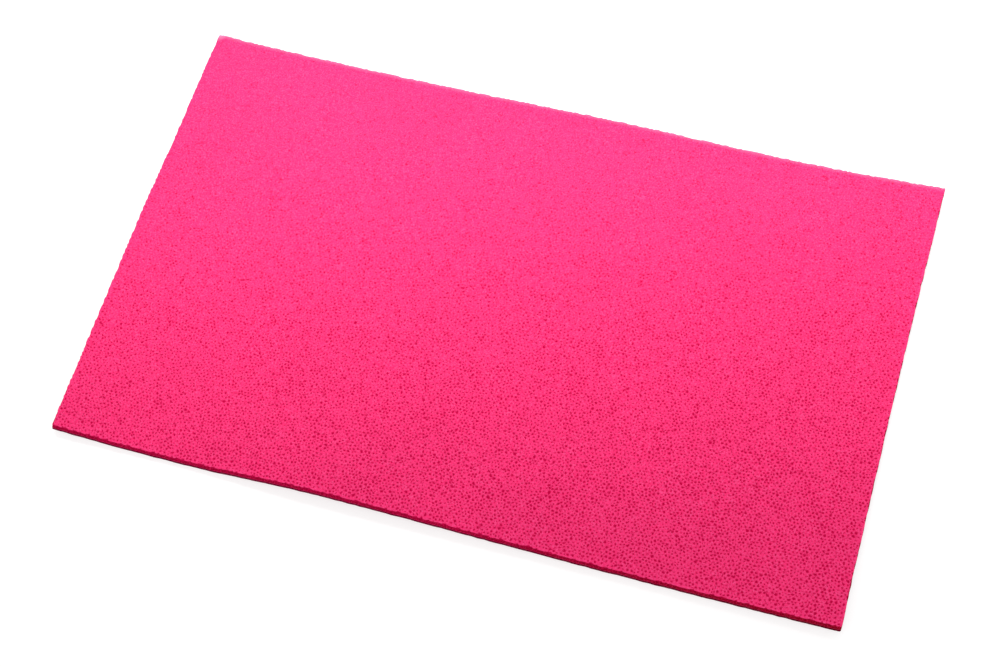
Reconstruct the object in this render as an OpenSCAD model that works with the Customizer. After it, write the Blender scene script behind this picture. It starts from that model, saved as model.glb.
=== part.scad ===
// Nail buffing sheet
//
// A thin, flexible rectangle of laminated foam, cut from a larger sheet. It lies flat
// and is pressed against the nail by a fingertip, or stuck to a holder by its underside.
// From the top down it is a microporous buffing face full of pinholes, a soft foam core,
// a film of adhesive and a thin, denser base sheet.
//
// The origin is the middle of the underside. The long side runs along X, the short side
// along Y, and the buffing face looks up along +Z. All sizes are in millimetres.

/* [Sheet] */
// Length of the sheet, along X
sheet_length = 140; // [80:1:220]
// Width of the sheet, along Y
sheet_width = 85; // [40:1:140]
// Radius that the blade leaves on the four upright corners
corner_radius = 0.3; // [0.1:0.1:8]

/* [Layers] */
// Thickness of the microporous buffing face, which holds the whole depth of its pinholes
face_thickness = 0.4; // [0.3:0.05:1]
// Thickness of the foam core
core_thickness = 1.1; // [0.5:0.1:8]
// Thickness of the adhesive film between the foam core and the base sheet
bond_thickness = 0.05; // [0.02:0.01:0.2]
// Thickness of the base sheet
base_thickness = 0.85; // [0.2:0.05:1.5]

/* [Colours] */
// Colour of the buffing face
face_colour = "#f5387d"; // [#f5387d:Hot pink, #f2f2ee:White, #7fb2d9:Light blue]
// Colour of the foam core
core_colour = "#d4145a"; // [#d4145a:Crimson, #e0e0da:Pale grey, #4f86b5:Blue]
// Colour of the base sheet
base_colour = "#8e1246"; // [#8e1246:Maroon, #9a9a94:Grey, #2f567a:Dark blue]

/* [Hidden] */
bond_colour = "#efe3e7";
corner_facets = 32;

// Height of the lowest point of each layer, counted up from the underside
base_z = 0;
bond_z = base_z + base_thickness;
core_z = bond_z + bond_thickness;
face_z = core_z + core_thickness;

// The cut outline that all the layers share: a rectangle with its corners just rounded
module cut_outline() {
    square([sheet_length - 2 * corner_radius, sheet_width], center = true);
    square([sheet_length, sheet_width - 2 * corner_radius], center = true);
    for (x_side = [-1, 1], y_side = [-1, 1])
        translate([
            x_side * (sheet_length / 2 - corner_radius),
            y_side * (sheet_width / 2 - corner_radius)
        ])
            circle(r = corner_radius, $fn = corner_facets);
}

// One flat layer of the laminate, from height z up
module layer(z, thickness) {
    translate([0, 0, z])
        linear_extrude(height = thickness)
            cut_outline();
}

// The working face, which touches the nail
module buffing_face() {
    color(face_colour)
        layer(face_z, face_thickness);
}

// The soft foam that lets the face follow the curve of a nail
module foam_core() {
    color(core_colour)
        layer(core_z, core_thickness);
}

// The film that bonds the foam to the base sheet
module bond_film() {
    color(bond_colour)
        layer(bond_z, bond_thickness);
}

// The denser sheet underneath, which keeps the foam from stretching
module base_sheet() {
    color(base_colour)
        layer(base_z, base_thickness);
}

buffing_face();
foam_core();
bond_film();
base_sheet();
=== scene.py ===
import math

import bpy
import numpy as np
from mathutils import Matrix, Vector
from mathutils.geometry import delaunay_2d_cdt


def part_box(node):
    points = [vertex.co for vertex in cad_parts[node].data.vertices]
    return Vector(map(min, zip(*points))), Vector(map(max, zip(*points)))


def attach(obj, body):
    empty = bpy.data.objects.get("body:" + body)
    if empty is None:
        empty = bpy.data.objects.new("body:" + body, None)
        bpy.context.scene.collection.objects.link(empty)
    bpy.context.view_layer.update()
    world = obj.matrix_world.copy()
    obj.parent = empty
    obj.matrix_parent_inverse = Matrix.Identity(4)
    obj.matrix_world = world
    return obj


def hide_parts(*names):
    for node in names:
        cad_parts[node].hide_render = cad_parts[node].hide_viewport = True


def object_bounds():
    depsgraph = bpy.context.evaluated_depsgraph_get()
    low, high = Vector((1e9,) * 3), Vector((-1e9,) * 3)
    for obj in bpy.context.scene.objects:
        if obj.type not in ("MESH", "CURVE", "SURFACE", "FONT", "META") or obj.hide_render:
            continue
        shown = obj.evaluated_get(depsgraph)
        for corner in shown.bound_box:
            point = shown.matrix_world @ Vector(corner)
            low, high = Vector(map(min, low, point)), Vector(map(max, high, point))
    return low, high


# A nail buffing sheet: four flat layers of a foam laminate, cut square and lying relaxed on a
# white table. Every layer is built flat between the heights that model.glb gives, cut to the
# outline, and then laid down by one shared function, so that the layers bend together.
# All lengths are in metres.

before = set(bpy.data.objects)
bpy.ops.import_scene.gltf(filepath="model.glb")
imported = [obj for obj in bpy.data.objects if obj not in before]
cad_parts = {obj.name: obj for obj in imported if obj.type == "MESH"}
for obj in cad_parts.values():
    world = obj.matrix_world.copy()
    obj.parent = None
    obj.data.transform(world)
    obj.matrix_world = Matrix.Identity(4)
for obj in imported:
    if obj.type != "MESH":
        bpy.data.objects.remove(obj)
SHEET_LOW, SHEET_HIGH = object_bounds()

MM = 0.001
SEED = 20
LENGTH = SHEET_HIGH.x - SHEET_LOW.x
WIDTH = SHEET_HIGH.y - SHEET_LOW.y
# Points nearer than this are one in a triangulation, and one this near a side is on it
MERGED_WITHIN = 1e-5 * MM
ON_SIDE_WITHIN = 0.001 * MM
# The rounding of the corners, anticlockwise from the near right one, and the steps in each
CORNER_RADII = [0.3 * MM, 0.4 * MM, 0.5 * MM, 0.3 * MM]
CORNER_STEPS = 5

# How the relaxed sheet stands off the table along its near and far edges: place along the
# edge, from 0 at the left to 1 at the right, and height there. The places are the edge's
# corners and its highest and lowest points.
NEAR_EDGE_LIFT = [
    (0, 1.0 * MM),
    (0.17, 0),
    (0.35, 1.85 * MM),
    (0.77, 0.55 * MM),
    (1, 1.0 * MM),
]
FAR_EDGE_LIFT = [
    (0, 1.3 * MM),
    (0.31, 0),
    (0.555, 0.6 * MM),
    (0.78, 0),
    (1, 1.5 * MM),
]
# How fast the lift dies away from an edge towards the middle of the sheet
LIFT_FADE = 1.6
# How far the middle of the sheet's short sides is bowed towards -X
SIDE_BOW = 0.3 * MM
# How far the left side was cut outside its bow: place along it, from 0 at its near end to 1
# at its far end, and distance there
LEFT_CUT = [
    (0, -0.14 * MM),
    (0.12, -0.06 * MM),
    (0.3, 0),
    (0.53, 0.13 * MM),
    (0.7, -0.07 * MM),
    (1, -0.1 * MM),
]
# How far the blade strayed at random from each side, and the distance between its turns
CUT_STRAY = {"near": 0.045 * MM, "far": 0.055 * MM, "left": 0.03 * MM, "right": 0.065 * MM}
CUT_TURN = 1.1 * MM
# The near left corner was pressed: how much thinner, towards which height, how far askew its
# underside was pushed, and how far round it
PRESSED_THINNER = 0.15
PRESSED_TO = 1.0 * MM
PRESSED_ASKEW = 0.6 * MM
PRESSED_REACH = 2 * MM

# How far apart the foam's cells are on the face and on the underside
FACE_PITCH = 0.66 * MM
BASE_PITCH = 1.2 * MM
# How far a cell may stray from its place in the rows, and how near the rim it may come, both
# in pitches
CELL_SCATTER = 0.45
CELL_INSET = 0.45
# How deep an open cell is for its radius, which keeps its sides gentler than 45 degrees
PIT_DEPTH_SHARE = 0.75
# How unevenly deep the ridges between open cells are, and how far their colour may go towards the
# painted shade inside the cells
RIDGE_DEPTH = 0.025 * MM
RIDGE_PAINTED_SHADE = 0.45
# How open the least open cell is, for what is wanted there
OPEN_LEAST = 0.6
# The share of the rim's points where the cut went through a cell, and such a cell's radius
RIM_OPEN_SHARE = 0.45
RIM_CELL_RADIUS = 0.35 * MM
# How far the rim stands back where a wide open cell was cut through
RIM_NOTCH = 0.13 * MM
# How wide the strip is along the rim that the blade rolls over, and how deep on the face
ROLL_WIDTH = 0.6 * MM
FACE_ROLL = 0.13 * MM
# How open the face's cells are at its near left corner, and what is added to that at its right
# end and at its far side
FACE_OPEN = 0.94
FACE_OPEN_RIGHT = 0.18
FACE_OPEN_FAR = -0.44
# How open the base sheet's cells are, and how open and wide the closed strip along its rim is
BASE_OPEN = 0.6
BASE_RIM_OPEN = 0.05
BASE_RIM_WIDTH = 0.2 * MM
# The radius of an opened cell in a cut wall, in cell sizes
WALL_CELL_RADIUS = 0.62
# How far the points of a smooth skin stray from their grid, in grid steps
PLAIN_SCATTER = 0.25
# How far apart the points on the unseen side of a layer are
HIDDEN_PITCH = 4 * MM

# Each point says how sunk it is, from 0 to 1. Between these two values the colour goes from the
# surface's to the painted shade inside a cell, which darkens the open cells where shade falls.
CELL_SHADE_FROM = 0.36
CELL_SHADE_TO = 0.56
# How the edges of the painted shade at the mouths of the cells are frayed: the size of the
# fraying, and the least and the most that it adds to how sunk a point is
FRAY_SIZE = 0.13 * MM
FRAY = (-0.22, 0.14)
# Nearly all of a noise lies between these values
NOISE_RANGE = (0.3, 0.7)
# How large the broad, faint patches of lighter and darker dye are, and their share of the mottle
PATCH_SIZE = 22 * MM
PATCH_SHARE = 0.3
# How large the foam's fine mottle is for its grain, which is also where it's raised
MOTTLE_SIZE = 1.6
# How large the patches of rougher and smoother foam are
ROUGHNESS_SIZE = 0.5 * MM
# How high the grain of the foam stands in its bump, and how large its finest grain is
GRAIN_HEIGHT = 0.03 * MM
FINE_GRAIN_SIZE = 0.12 * MM
# Painted shade: what the foam's cut edges are multiplied by at the sheet's right end, to make them
# darker there as if less light fell on them
RIGHT_END_PAINTED_SHADE = (0.72, 1, 0.42)
# The far corners' tips are pale, partly from wear and partly as a painted rim highlight: which
# corner, how far round it and how strongly
TIP_WEAR_AND_HIGHLIGHT = [((-1, 1), 2.0 * MM, 0.8), ((1, 1), 1.2 * MM, 0.5)]
# The pale colour of that wear and painted rim highlight
WEAR_AND_HIGHLIGHT_PALE = (0.95, 0.42, 0.62)
# How strongly the face pales at its far rim, partly from wear and partly as a painted rim
# highlight, and how wide the strip is
PALE_RIM = 0.2
PALE_RIM_WIDTH = 0.9 * MM

# The floor is just under the sheet, and glows a little so that it's burnt out to white
FLOOR_HALF = 3.0
FLOOR_DROP = 0.02 * MM
FLOOR_GLOW = 0.7
WORLD_STRENGTH = 0.88
SOFTBOX_PLACE = (-0.018, 0.132, 0.371)
SOFTBOX_AIM = (0.008, 0.043, 0)
SOFTBOX_SIZE = (0.25, 0.09)
SOFTBOX_SPREAD = math.radians(25)
SOFTBOX_POWER = 0.075
# The camera stands near right of the sheet and looks down: azimuth from the near side
# towards the right, elevation and roll, and how far it is from what it looks at
CAMERA_AZIMUTH = math.radians(24.88)
CAMERA_ELEVATION = math.radians(62.57)
CAMERA_ROLL = math.radians(-9.08)
CAMERA_AIM = (0.84 * MM, -5.05 * MM, SHEET_HIGH.z)
CAMERA_DISTANCE = 0.35735
CAMERA_LENS = 73.05
CAMERA_SENSOR = 36


# ---------------------------------------------------------------- how the sheet lies

def edge_height(stations, place):
    """Height along an edge: level at each inner station, and still rising at the corners."""
    height = np.zeros_like(place)
    last = len(stations) - 2
    for i, ((start, h0), (end, h1)) in enumerate(zip(stations, stations[1:])):
        t = np.clip((place - start) / (end - start), 0, 1)
        ease = t * t * (3 - 2 * t)
        if i == 0:
            ease = 1 - (1 - t) ** 2
        if i == last:
            ease = t * t
        height = np.where((place >= start) | (i == 0), h0 + (h1 - h0) * ease, height)
    return height


def cut_stray(side, distance):
    """How far the cut of a side strays at random, at each distance along it.

    Each side has a seed of its own, made from its name.
    """
    rng = np.random.default_rng([SEED, len(side), ord(side[0])])
    turns = rng.uniform(-CUT_STRAY[side], CUT_STRAY[side], round(LENGTH / CUT_TURN) + 2)
    return np.interp(distance, CUT_TURN * np.arange(len(turns)), turns)


def pressed(points):
    """The near left corner as the blade pressed it: thinner, its underside pushed outward."""
    corner = np.array([SHEET_LOW.x, SHEET_LOW.y])
    share = np.exp(-np.sum((points[:, :2] - corner) ** 2, axis=1) / PRESSED_REACH**2)
    down = (SHEET_HIGH.z - points[:, 2]) / (SHEET_HIGH.z - SHEET_LOW.z)
    moved = points.copy()
    moved[:, 0] -= PRESSED_ASKEW * share * down
    moved[:, 2] += PRESSED_THINNER * share * (PRESSED_TO - points[:, 2])
    return moved


def laid_down(points):
    """Where points of the flat sheet come to lie."""
    along = np.clip((points[:, 0] - SHEET_LOW.x) / LENGTH, 0, 1)
    across = np.clip((points[:, 1] - SHEET_LOW.y) / WIDTH, 0, 1)
    near = edge_height(NEAR_EDGE_LIFT, along) * (1 - across) ** LIFT_FADE
    far = edge_height(FAR_EDGE_LIFT, along) * across ** LIFT_FADE
    left = cut_stray("left", across * WIDTH) + edge_height(LEFT_CUT, across)
    right = cut_stray("right", across * WIDTH)
    laid = pressed(points)
    laid[:, 2] += near + far
    laid[:, 0] += right * along - left * (1 - along) - SIDE_BOW * (1 - (2 * across - 1) ** 2)
    laid[:, 1] += cut_stray("far", along * LENGTH) * across
    laid[:, 1] -= cut_stray("near", along * LENGTH) * (1 - across)
    return laid


# ---------------------------------------------------------------- outline and flat triangulation

def corner_arcs():
    """The arcs of the four corners, anticlockwise from the near right one."""
    ends = [(SHEET_HIGH.x, SHEET_LOW.y), (SHEET_HIGH.x, SHEET_HIGH.y)]
    ends += [(SHEET_LOW.x, SHEET_HIGH.y), (SHEET_LOW.x, SHEET_LOW.y)]
    arcs = []
    for i, ((x, y), radius) in enumerate(zip(ends, CORNER_RADII)):
        angles = math.pi / 2 * (i - 1 + np.linspace(0, 1, CORNER_STEPS + 1))
        centre = x - math.copysign(radius, x), y - math.copysign(radius, y)
        arcs.append(np.stack([np.cos(angles), np.sin(angles)], 1) * radius + centre)
    return arcs


def outline(pitch):
    """The cut outline as points about pitch apart, anticlockwise."""
    arcs = corner_arcs()
    points = []
    for arc, following in zip(arcs, arcs[1:] + arcs[:1]):
        points.append(arc)
        side = following[0] - arc[-1]
        steps = max(1, round(float(np.hypot(*side)) / pitch))
        share = np.arange(1, steps)[:, None] / steps
        points.append(arc[-1] + side * share)
    return np.concatenate(points)


def triangulated(points, loop=0):
    """Delaunay triangles of flat points, anticlockwise.

    The first loop points, if any, are a closed border, which nothing is drawn outside of.
    """
    border = [(i, (i + 1) % loop) for i in range(loop)]
    flat = [Vector(p) for p in (points / MM).tolist()]
    inside_only = 1 if loop else 0
    found = delaunay_2d_cdt(flat, border, [], inside_only, MERGED_WITHIN / MM, False)
    places = np.array([v[:] for v in found[0]]) * MM
    triangles = np.array(found[2])
    a, b, c = (places[triangles[:, i]] for i in range(3))
    area = (b[:, 0] - a[:, 0]) * (c[:, 1] - a[:, 1]) - (b[:, 1] - a[:, 1]) * (c[:, 0] - a[:, 0])
    triangles[area < 0] = triangles[area < 0][:, ::-1]
    return places, triangles


def neighbours(triangles):
    """Pairs of neighbouring points, each edge at least once in both directions."""
    a, b, c = triangles.T
    return np.concatenate([a, b, c, b, c, a]), np.concatenate([b, c, a, a, b, c])


# ---------------------------------------------------------------- foam skins with open cells

def scattered_centres(pitch, border, rng):
    """The border and irregular, evenly spread points inside it, with their triangles."""
    row = pitch * math.sqrt(0.75)
    inset = CELL_INSET * pitch
    x, y = np.meshgrid(
        np.arange(SHEET_LOW.x, SHEET_HIGH.x, pitch), np.arange(SHEET_LOW.y, SHEET_HIGH.y, row)
    )
    x[1::2] += pitch / 2
    inner = np.stack([x.ravel(), y.ravel()], 1)
    inner += pitch * rng.uniform(-CELL_SCATTER, CELL_SCATTER, inner.shape)
    low = np.array([SHEET_LOW.x, SHEET_LOW.y]) + inset
    high = np.array([SHEET_HIGH.x, SHEET_HIGH.y]) - inset
    inner = inner[np.all((inner > low) & (inner < high), axis=1)]
    places, triangles = triangulated(np.concatenate([border, inner]), len(border))
    near, far = neighbours(triangles)
    met = np.bincount(near, minlength=len(places))
    for axis in (0, 1):
        average = np.bincount(near, places[far, axis], len(places)) / met
        places[len(border):, axis] = average[len(border):]
    return triangulated(places, len(border))


def cell_faces(triangles, count):
    """The faces of cells round count centres, parted by ridges.

    The middle of each triangle of centres, numbered on from the centres, is a point of the
    ridges, so that every edge between two centres is crossed by a ridge.
    """
    start = triangles.ravel()
    end = np.roll(triangles, -1, axis=1).ravel()
    middle = count + np.repeat(np.arange(len(triangles)), 3)
    key, twin_key = start * count + end, end * count + start
    order = np.argsort(key)
    found = order[np.clip(np.searchsorted(key[order], twin_key), 0, len(key) - 1)]
    inside = key[found] == twin_key
    parted = np.stack([start, middle[found], middle], 1)[inside]
    rim = np.stack([start, end, middle], 1)[~inside]
    return np.concatenate([parted, rim])


def edge_distance(places):
    """How far each place is from the nearest side of the sheet."""
    return np.minimum(LENGTH / 2 - np.abs(places[:, 0]), WIDTH / 2 - np.abs(places[:, 1]))


def outward_axis(places):
    """The direction out of the side that each place lies on, or none at the corners."""
    on_side = np.abs(places) > np.array([LENGTH, WIDTH]) / 2 - ON_SIDE_WITHIN
    return np.where(on_side, np.sign(places), 0)


def foam_skin(pitch, border_pitch, roll, wanted, rng):
    """A flat skin of foam with open cells.

    Gives its points as (x, y, depth), its triangles, the outline that was cut and how sunk
    each point is, from 0 to 1. The outline's points are the skin's first ones. Each centre is
    the bottom of a cell. roll is how deep the blade rolls the rim over. wanted gives how open
    each cell may be, from 0 to 1, for an array of places.
    """
    border = outline(border_pitch)
    centres, triangles = scattered_centres(pitch, border, rng)
    count, rim = len(centres), len(border)
    near, far = neighbours(triangles)
    radius = np.full(count, pitch)
    np.minimum.at(radius, near, np.hypot(*(centres[near] - centres[far]).T) / 2)
    strength = wanted(centres) * rng.uniform(OPEN_LEAST, 1, count)
    strength[:rim] *= rng.random(rim) < RIM_OPEN_SHARE
    radius[:rim] = RIM_CELL_RADIUS
    centres[:rim] -= RIM_NOTCH * strength[:rim, None] * outward_axis(border)
    ridges = centres[triangles].mean(axis=1)
    # How sunk a point is also sets how much painted shade its colour takes: a cell's centre by how
    # open it is, a ridge at random.
    sunk = np.concatenate([strength, RIDGE_PAINTED_SHADE * rng.random(len(ridges)) ** 2])
    pit_depth = PIT_DEPTH_SHARE * radius * strength
    depth = np.concatenate([pit_depth, RIDGE_DEPTH * rng.random(len(ridges))])
    places = np.concatenate([centres, ridges])
    depth += roll * np.clip(1 - edge_distance(places) / ROLL_WIDTH, 0, 1) ** 2
    return np.c_[places, depth], cell_faces(triangles, count), border, sunk


def plain_skin(pitch, border_pitch, rng):
    """A smooth skin, given like foam_skin's: nothing in it is sunk."""
    border = outline(border_pitch)
    low = np.array([SHEET_LOW.x, SHEET_LOW.y]) + pitch
    size = np.array([LENGTH, WIDTH]) - 2 * pitch
    count = np.round(size / pitch).astype(int)
    step = size / count
    grid = np.stack(np.meshgrid(*(np.arange(n + 1) for n in count)), -1).reshape(-1, 2)
    stray = rng.uniform(-PLAIN_SCATTER, PLAIN_SCATTER, grid.shape) * (grid > 0) * (grid < count)
    inner = low + (grid + stray) * step
    places, triangles = triangulated(np.concatenate([border, inner]), len(border))
    flat = np.zeros(len(places))
    return np.c_[places, flat], triangles, border, flat


# ---------------------------------------------------------------- closed layers

def cell_distance(along, down, size, rng):
    """Distance from each point of a cut wall to the nearest cell centre, in cell sizes."""
    columns, rows = int(along.max() / size) + 3, int(down.max() / size) + 3
    offset = rng.uniform(0.1, 0.9, (columns, rows, 2))
    i, j = np.floor(along / size).astype(int), np.floor(down / size).astype(int)
    nearest = np.full(along.shape, np.inf)
    for di in (-1, 0, 1):
        for dj in (-1, 0, 1):
            shift = offset[(i + di) % columns, (j + dj) % rows]
            distance = np.hypot(
                i + di + shift[..., 0] - along / size, j + dj + shift[..., 1] - down / size
            )
            nearest = np.minimum(nearest, distance)
    return nearest


def closed_layer(skin, thickness, rows, cell, dent, tuck, rng):
    """Closes a skin into a layer: a cut wall with opened cells, and a plain unseen side.

    The wall has so many rows, and cells of size cell that are up to dent deep. It is drawn in
    by tuck at half height, and it brings a notched rim back to the outline. Gives the points
    as (x, y, depth), the triangles, how many of these are the skin's own, which come first,
    and how sunk each point is, from 0 to 1.
    """
    points, triangles, border, skin_sunk = skin
    size, first = len(border), len(points)
    rim = points[:size]
    before, after = np.roll(border, 1, axis=0), np.roll(border, -1, axis=0)
    tangent = after - before
    tangent /= np.linalg.norm(tangent, axis=1)[:, None]
    outward = np.stack([tangent[:, 1], -tangent[:, 0]], 1)
    step = np.linalg.norm(after - border, axis=1)
    along = np.concatenate([[0], np.cumsum(step)[:-1]])

    share = np.arange(1, rows + 1) / rows
    depth = rim[:, 2] + (thickness - rim[:, 2]) * share[:, None]
    from_cell = cell_distance(np.tile(along, (rows, 1)), depth, cell, rng)
    opened = 1 - np.clip(from_cell / WALL_CELL_RADIUS, 0, 1) ** 2
    fade = np.where(share < 1, 1, 0)[:, None]
    hollow = tuck * np.sin(math.pi * share)[:, None]
    inward = (dent * opened) * fade + hollow
    upright = rim[:, :2] + (border - rim[:, :2]) * share[:, None, None]
    wall = upright - outward * inward[..., None]
    wall = np.concatenate([wall, depth[..., None]], axis=2).reshape(-1, 3)
    # The opened cells of the wall take the painted shade of the cells' insides.
    wall_sunk = (opened * fade).reshape(-1)

    ring = np.concatenate([np.arange(size), first + np.arange(rows * size)]).reshape(rows + 1, size)
    upper, lower = ring[:-1], ring[1:]
    upper_next, lower_next = np.roll(upper, -1, axis=1), np.roll(lower, -1, axis=1)
    wall_faces = np.concatenate([
        np.stack([upper, lower, lower_next], -1).reshape(-1, 3),
        np.stack([upper, lower_next, upper_next], -1).reshape(-1, 3),
    ])

    inner = np.stack(np.meshgrid(
        np.arange(SHEET_LOW.x + HIDDEN_PITCH, SHEET_HIGH.x - HIDDEN_PITCH / 2, HIDDEN_PITCH),
        np.arange(SHEET_LOW.y + HIDDEN_PITCH, SHEET_HIGH.y - HIDDEN_PITCH / 2, HIDDEN_PITCH),
    ), -1).reshape(-1, 2)
    bottom = wall[-size:, :2]
    cap, cap_faces = triangulated(np.concatenate([bottom, inner]), size)
    cap = np.c_[cap, np.full(len(cap), thickness)]
    cap_first = first + len(wall)
    number = np.concatenate([ring[-1], cap_first + np.arange(len(cap) - size)])
    cap_faces = number[cap_faces][:, ::-1]

    everything = np.concatenate([points, wall, cap[size:]])
    sunk = np.concatenate([skin_sunk, wall_sunk, np.zeros(len(cap) - size)])
    faces = np.concatenate([triangles, wall_faces, cap_faces])
    return everything, faces, len(triangles), sunk


def make_piece(name, node, layer, faces_down, materials):
    """Turns a closed layer into the piece that stands for a node, laid down and in place.

    The first material is the skin's and the last one is for the rest.
    """
    points, faces, skin_faces, sunk = layer
    low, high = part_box(node)
    points = points.copy()
    if faces_down:
        points[:, 2] = low.z + points[:, 2]
        faces = faces[:, ::-1]
    else:
        points[:, 2] = high.z - points[:, 2]
    mesh = bpy.data.meshes.new(name)
    mesh.from_pydata(laid_down(points).tolist(), [], faces.tolist())
    attribute = mesh.attributes.new("sunk", "FLOAT", "POINT")
    attribute.data.foreach_set("value", sunk.astype(np.float32))
    for material in materials:
        mesh.materials.append(material)
    slots = np.full(len(faces), len(materials) - 1, np.int32)
    slots[:skin_faces] = 0
    mesh.polygons.foreach_set("material_index", slots)
    mesh.update()
    piece = bpy.data.objects.new(name, mesh)
    bpy.context.scene.collection.objects.link(piece)
    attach(piece, "root")
    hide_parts(node)
    return piece


# ---------------------------------------------------------------- materials

class Nodes:
    """A new material's node tree, with short ways to add the nodes used here."""

    def __init__(self, name):
        self.material = bpy.data.materials.new(name)
        self.material.use_nodes = True
        self.tree = self.material.node_tree
        self.shader = self.tree.nodes["Principled BSDF"]
        self.place = self.tree.nodes.new("ShaderNodeTexCoord").outputs["Object"]

    def link(self, source, target):
        self.tree.links.new(source, target)

    def noise(self, size, detail=2.0):
        """Smooth noise from 0 to 1, whose lumps are about size across."""
        node = self.tree.nodes.new("ShaderNodeTexNoise")
        node.inputs["Scale"].default_value = 1 / size
        node.inputs["Detail"].default_value = detail
        self.link(self.place, node.inputs["Vector"])
        return node.outputs[0]

    def cells(self, size):
        """Distance from the middle of irregular cells about size across."""
        node = self.tree.nodes.new("ShaderNodeTexVoronoi")
        node.inputs["Scale"].default_value = 1 / size
        self.link(self.place, node.inputs["Vector"])
        return node.outputs["Distance"]

    def attribute(self, name):
        """A number that the mesh holds for each of its points."""
        node = self.tree.nodes.new("ShaderNodeAttribute")
        node.attribute_name = name
        return node.outputs["Fac"]

    def along(self, axis):
        """Distance along an axis from the middle of the sheet."""
        node = self.tree.nodes.new("ShaderNodeSeparateXYZ")
        self.link(self.place, node.inputs["Vector"])
        return node.outputs[axis]

    def distance(self, point):
        """Distance from a point of the sheet's own space."""
        node = self.tree.nodes.new("ShaderNodeVectorMath")
        node.operation = "DISTANCE"
        self.link(self.place, node.inputs[0])
        node.inputs[1].default_value = point
        return node.outputs["Value"]

    def plus(self, one, two):
        """The sum of two numbers."""
        node = self.tree.nodes.new("ShaderNodeMath")
        node.operation = "ADD"
        self.link(one, node.inputs[0])
        self.link(two, node.inputs[1])
        return node.outputs["Value"]

    def spread(self, source, low, high, new_low, new_high):
        """Maps source from one range to another, clamped."""
        node = self.tree.nodes.new("ShaderNodeMapRange")
        self.link(source, node.inputs["Value"])
        node.inputs["From Min"].default_value = low
        node.inputs["From Max"].default_value = high
        node.inputs["To Min"].default_value = new_low
        node.inputs["To Max"].default_value = new_high
        return node.outputs["Result"]

    def blend(self, share, one, two, mode="MIX"):
        """Mixes two colours, each a socket or three numbers. The share is a socket or a number."""
        node = self.tree.nodes.new("ShaderNodeMix")
        node.data_type = "RGBA"
        node.blend_type = mode
        for key, value in ((0, share), (6, one), (7, two)):
            if isinstance(value, bpy.types.NodeSocket):
                self.link(value, node.inputs[key])
            elif key == 0:
                node.inputs[key].default_value = value
            else:
                node.inputs[key].default_value = (*value, 1)
        return node.outputs[2]

    def grey(self, source):
        """A number as a grey colour."""
        node = self.tree.nodes.new("ShaderNodeCombineColor")
        for key in ("Red", "Green", "Blue"):
            self.link(source, node.inputs[key])
        return node.outputs["Color"]

    def bump(self, source, height, onto=None):
        """Raises the surface by height where source is 1."""
        node = self.tree.nodes.new("ShaderNodeBump")
        node.inputs["Distance"].default_value = height
        self.link(source, node.inputs["Height"])
        if onto is not None:
            self.link(onto, node.inputs["Normal"])
        return node.outputs["Normal"]


def pale_wear_and_highlight(n, colour):
    """Pales the face's colour along its far rim and at its far corners' tips: partly wear, partly a
    painted rim highlight.
    """
    rim = n.spread(n.along("Y"), WIDTH / 2 - PALE_RIM_WIDTH, WIDTH / 2, 0, PALE_RIM)
    colour = n.blend(rim, colour, WEAR_AND_HIGHLIGHT_PALE)
    for (right, back), reach, most in TIP_WEAR_AND_HIGHLIGHT:
        tip = n.distance((right * LENGTH / 2, back * WIDTH / 2, SHEET_HIGH.z))
        colour = n.blend(n.spread(tip, 0.2 * reach, reach, most, 0), colour, WEAR_AND_HIGHLIGHT_PALE)
    return colour


def foam_material(
    name,
    surface,
    speck,
    hollow,
    roughness,
    shine,
    mottle,
    grain_size,
    right_end=(1, 1, 1),
    worn_and_highlit=False,
):
    """Dyed foam.

    surface, speck and hollow are the colours of its surface, of the lighter specks on that and of
    the painted shade inside its cells. mottle is how much its shade varies. right_end is the
    painted shade that its colour is multiplied by at the sheet's right end, and worn_and_highlit is
    whether its far rim is paled by wear and a painted rim highlight.
    """
    n = Nodes(name)
    specks = n.spread(n.noise(grain_size, 1), 0.48, 0.66, 0, 1)
    fray = n.spread(n.noise(FRAY_SIZE, 1), *NOISE_RANGE, *FRAY)
    # Painted shade inside the open cells: the more sunk a point is, the more its colour goes to the
    # darker hollow one.
    inside = n.spread(n.plus(n.attribute("sunk"), fray), CELL_SHADE_FROM, CELL_SHADE_TO, 0, 1)
    colour = n.blend(inside, n.blend(specks, surface, speck), hollow)
    broad = n.spread(n.noise(PATCH_SIZE), *NOISE_RANGE, 1 - PATCH_SHARE * mottle, 1)
    fine = n.spread(n.cells(MOTTLE_SIZE * grain_size), 0.1, 0.8, 1, 1 - mottle)
    for shade in (broad, fine):
        colour = n.blend(1.0, colour, n.grey(shade), "MULTIPLY")
    # Painted shade: the colour darkens towards the sheet's right end.
    painted_shade_to_right = n.spread(n.along("X"), 0, LENGTH / 2, 0, 1)
    colour = n.blend(painted_shade_to_right, colour, n.blend(1.0, colour, right_end, "MULTIPLY"))
    # The far rim and tips pale: partly wear, partly a painted rim highlight.
    if worn_and_highlit:
        colour = pale_wear_and_highlight(n, colour)
    n.link(colour, n.shader.inputs["Base Color"])
    least_rough, most_rough = roughness - 0.08, roughness + 0.1
    uneven = n.spread(n.noise(ROUGHNESS_SIZE, 3), *NOISE_RANGE, least_rough, most_rough)
    n.link(uneven, n.shader.inputs["Roughness"])
    n.link(n.spread(inside, 0, 1, shine, 0), n.shader.inputs["Specular IOR Level"])
    grain = n.bump(n.noise(FINE_GRAIN_SIZE, 3), GRAIN_HEIGHT)
    grain = n.bump(n.cells(MOTTLE_SIZE * grain_size), GRAIN_HEIGHT, grain)
    n.link(grain, n.shader.inputs["Normal"])
    return n.material


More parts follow.
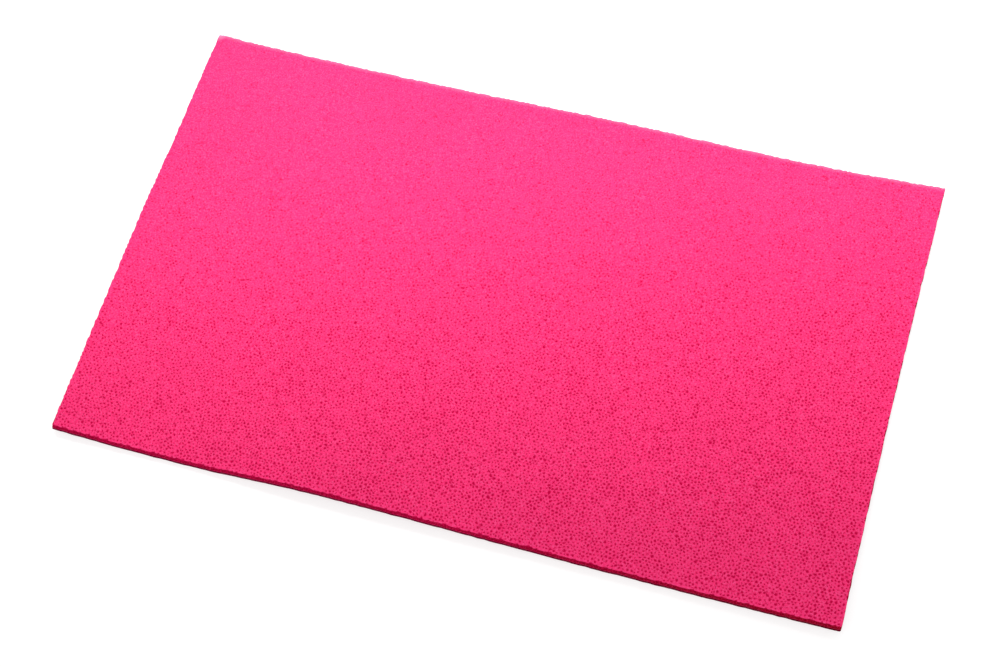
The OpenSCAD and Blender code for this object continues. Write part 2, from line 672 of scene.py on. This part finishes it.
def buffing_face_material():
    return foam_material(
        "pink_microporous_face",
        surface=(0.96, 0.026, 0.17),
        speck=(0.98, 0.068, 0.25),
        hollow=(0.57, 0.0025, 0.062),
        roughness=0.7,
        shine=0.12,
        mottle=0.12,
        grain_size=0.22 * MM,
        worn_and_highlit=True,
    )


# The cut foam is the face's pink foam darkened to crimson, which stands as painted shade on the cut
# edges.
def cut_foam_material():
    return foam_material(
        "cut_foam_pink_in_painted_shade",
        surface=(0.52, 0.001, 0.052),
        speck=(0.71, 0.004, 0.085),
        hollow=(0.28, 0.0, 0.019),
        roughness=0.8,
        shine=0.02,
        mottle=0.15,
        grain_size=0.25 * MM,
        right_end=RIGHT_END_PAINTED_SHADE,
    )


def adhesive_material():
    return foam_material(
        "clear_pink_adhesive",
        surface=(0.24, 0.001, 0.03),
        speck=(0.3, 0.002, 0.04),
        hollow=(0.2, 0.001, 0.02),
        roughness=0.4,
        shine=0.05,
        mottle=0.1,
        grain_size=0.6 * MM,
    )


# The base sheet's maroon is partly its own dye and partly painted shade along the bottom of the cut
# edge.
def base_sheet_material():
    return foam_material(
        "maroon_foam_and_painted_shade",
        surface=(0.225, 0.001, 0.038),
        speck=(0.285, 0.002, 0.047),
        hollow=(0.115, 0.0, 0.017),
        roughness=0.75,
        shine=0.02,
        mottle=0.15,
        grain_size=0.4 * MM,
        right_end=RIGHT_END_PAINTED_SHADE,
    )


# ---------------------------------------------------------------- the four pieces

def face_openness(places):
    """How open the face's cells are: less towards the far left corner, as foam varies."""
    along = places[:, 0] / LENGTH + 0.5
    across = places[:, 1] / WIDTH + 0.5
    return np.clip(FACE_OPEN + FACE_OPEN_RIGHT * along + FACE_OPEN_FAR * across, 0, 1)


def base_openness(places):
    """How open the base sheet's cells are: nearly closed along its cut edge."""
    return np.where(edge_distance(places) > BASE_RIM_WIDTH, BASE_OPEN, BASE_RIM_OPEN)


def build_face(thickness, cut_foam, rng):
    skin = foam_skin(
        FACE_PITCH, border_pitch=0.42 * MM, roll=FACE_ROLL, wanted=face_openness, rng=rng
    )
    layer = closed_layer(skin, thickness, rows=3, cell=0.5 * MM, dent=0.04 * MM, tuck=0, rng=rng)
    materials = [buffing_face_material(), cut_foam]
    return make_piece("microporous_face", "buffing_face", layer, False, materials)


def build_core(thickness, cut_foam, rng):
    skin = plain_skin(3 * MM, border_pitch=0.1 * MM, rng=rng)
    layer = closed_layer(
        skin, thickness, rows=11, cell=0.32 * MM, dent=0.07 * MM, tuck=0.05 * MM, rng=rng
    )
    return make_piece("foam_core_sheet", "foam_core", layer, False, [cut_foam])


def build_film(thickness, rng):
    skin = plain_skin(4 * MM, border_pitch=0.5 * MM, rng=rng)
    layer = closed_layer(skin, thickness, rows=1, cell=0.8 * MM, dent=0, tuck=0, rng=rng)
    return make_piece("adhesive_film", "bond_film", layer, False, [adhesive_material()])


def build_base(thickness, rng):
    skin = foam_skin(BASE_PITCH, border_pitch=0.16 * MM, roll=0, wanted=base_openness, rng=rng)
    layer = closed_layer(skin, thickness, rows=6, cell=0.3 * MM, dent=0.03 * MM, tuck=0, rng=rng)
    return make_piece("dense_base_sheet", "base_sheet", layer, True, [base_sheet_material()])


def build_sheet():
    """The four pieces, from the top down."""
    rng = np.random.default_rng(SEED)
    cut_foam = cut_foam_material()
    thickness = {node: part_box(node)[1].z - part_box(node)[0].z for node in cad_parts}
    face = build_face(thickness["buffing_face"], cut_foam, rng)
    core = build_core(thickness["foam_core"], cut_foam, rng)
    build_film(thickness["bond_film"], rng)
    base = build_base(thickness["base_sheet"], rng)


# ---------------------------------------------------------------- floor, light and camera

def make_floor():
    mesh = bpy.data.meshes.new("floor")
    corners = [
        (-FLOOR_HALF, -FLOOR_HALF),
        (FLOOR_HALF, -FLOOR_HALF),
        (FLOOR_HALF, FLOOR_HALF),
        (-FLOOR_HALF, FLOOR_HALF),
    ]
    mesh.from_pydata([(x, y, -FLOOR_DROP) for x, y in corners], [], [(0, 1, 2, 3)])
    floor = bpy.data.objects.new("floor", mesh)
    bpy.context.scene.collection.objects.link(floor)
    n = Nodes("white_table")
    white = n.blend(n.noise(60 * MM), (0.39, 0.39, 0.39), (0.41, 0.41, 0.41))
    n.link(white, n.shader.inputs["Base Color"])
    n.shader.inputs["Roughness"].default_value = 0.9
    n.shader.inputs["Specular IOR Level"].default_value = 0.0
    n.shader.inputs["Emission Color"].default_value = (1, 1, 1, 1)
    n.shader.inputs["Emission Strength"].default_value = FLOOR_GLOW
    mesh.materials.append(n.material)


def make_softbox():
    data = bpy.data.lights.new("gridded_softbox", "AREA")
    data.shape = "RECTANGLE"
    data.size, data.size_y = SOFTBOX_SIZE
    data.spread = SOFTBOX_SPREAD
    data.energy = SOFTBOX_POWER
    light = bpy.data.objects.new("gridded_softbox", data)
    light.location = SOFTBOX_PLACE
    light.rotation_mode = "QUATERNION"
    towards = Vector(SOFTBOX_AIM) - Vector(SOFTBOX_PLACE)
    light.rotation_quaternion = towards.to_track_quat("-Z", "Y")
    light.visible_camera = False
    bpy.context.scene.collection.objects.link(light)


def make_world():
    world = bpy.data.worlds.new("studio")
    world.use_nodes = True
    background = world.node_tree.nodes["Background"]
    background.inputs["Color"].default_value = (1, 1, 1, 1)
    background.inputs["Strength"].default_value = WORLD_STRENGTH
    bpy.context.scene.world = world


def make_camera():
    back = Vector((
        math.sin(CAMERA_AZIMUTH) * math.cos(CAMERA_ELEVATION),
        -math.cos(CAMERA_AZIMUTH) * math.cos(CAMERA_ELEVATION),
        math.sin(CAMERA_ELEVATION),
    ))
    data = bpy.data.cameras.new("camera")
    data.sensor_width = CAMERA_SENSOR
    data.lens = CAMERA_LENS
    data.clip_start = 0.01
    camera = bpy.data.objects.new("camera", data)
    camera.rotation_mode = "QUATERNION"
    upright = (-back).to_track_quat("-Z", "Y")
    camera.rotation_quaternion = upright @ Matrix.Rotation(CAMERA_ROLL, 3, "Z").to_quaternion()
    camera.location = Vector(CAMERA_AIM) + CAMERA_DISTANCE * back
    bpy.context.scene.collection.objects.link(camera)
    bpy.context.scene.camera = camera


make_camera()
build_sheet()
make_floor()
make_world()
make_softbox()
bpy.context.scene.view_settings.view_transform = "Standard"
